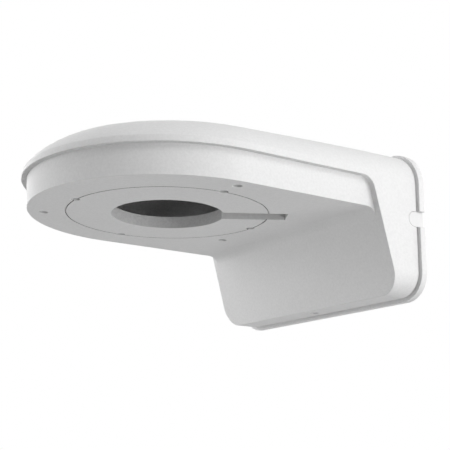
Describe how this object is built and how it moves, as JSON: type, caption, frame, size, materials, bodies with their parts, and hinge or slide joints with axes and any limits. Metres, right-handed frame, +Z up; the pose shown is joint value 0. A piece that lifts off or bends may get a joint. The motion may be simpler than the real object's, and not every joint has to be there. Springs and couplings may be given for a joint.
{
  "type": "camera wall bracket",
  "caption": "Hollow cast arm on a wall plate that holds a ceiling-style security camera level under its round end, with the cable run inside.",
  "frame": {"origin": "on the wall, in the middle of the wall plate's back", "axes": "+Y into the wall, +Z up, +X to the right of someone who faces the wall"},
  "size_m": [0.1328, 0.1565, 0.068],
  "materials": {
    "casting": "matte powder coat",
    "plate": "matte powder coat",
    "plug": "matte",
    "screw": "plain"
  },
  "bodies": {
    "root": {"bracket_body": "casting", "wall_plate": "plate", "side_plug": "plug", "lock_screw": "screw"}
  },
  "joints": []
}
